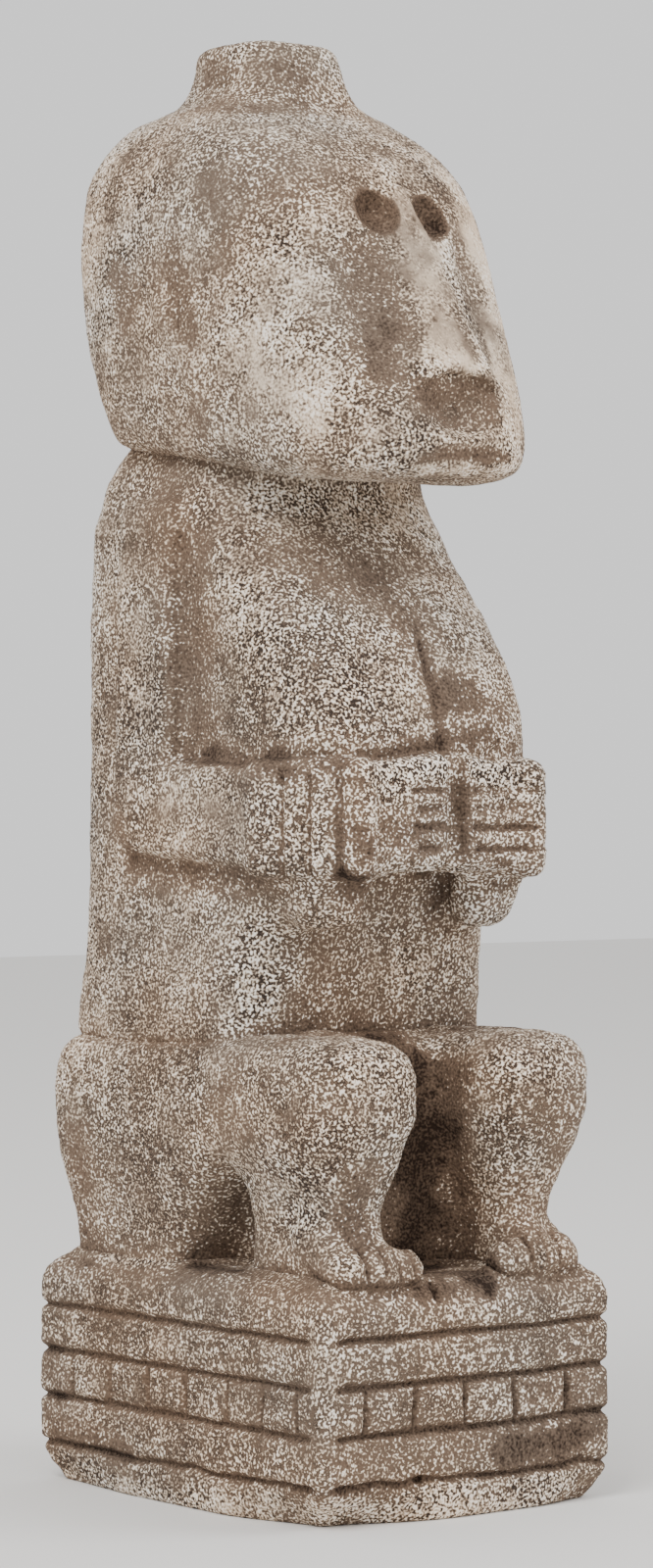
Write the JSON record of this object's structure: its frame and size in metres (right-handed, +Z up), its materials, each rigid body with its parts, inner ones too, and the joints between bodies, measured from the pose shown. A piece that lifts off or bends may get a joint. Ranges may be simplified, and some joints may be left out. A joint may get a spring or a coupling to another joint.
{
  "type": "statue",
  "caption": "Seated stone figure with a large schematic head, hands joined at the belly and knees drawn up, on a block ringed by grooves with a band of small squares.",
  "frame": {"origin": "middle of the underside of the block, on the ground", "axes": "+Z up along the statue's height; the figure faces -Y, so its right-hand side is at -X"},
  "size_m": [0.192, 0.242, 0.76],
  "materials": {
    "whitewashed_stone": "matt cast stone, pale wash worn through to the brown body"
  },
  "bodies": {
    "root": {"statue": "whitewashed_stone"}
  },
  "joints": []
}
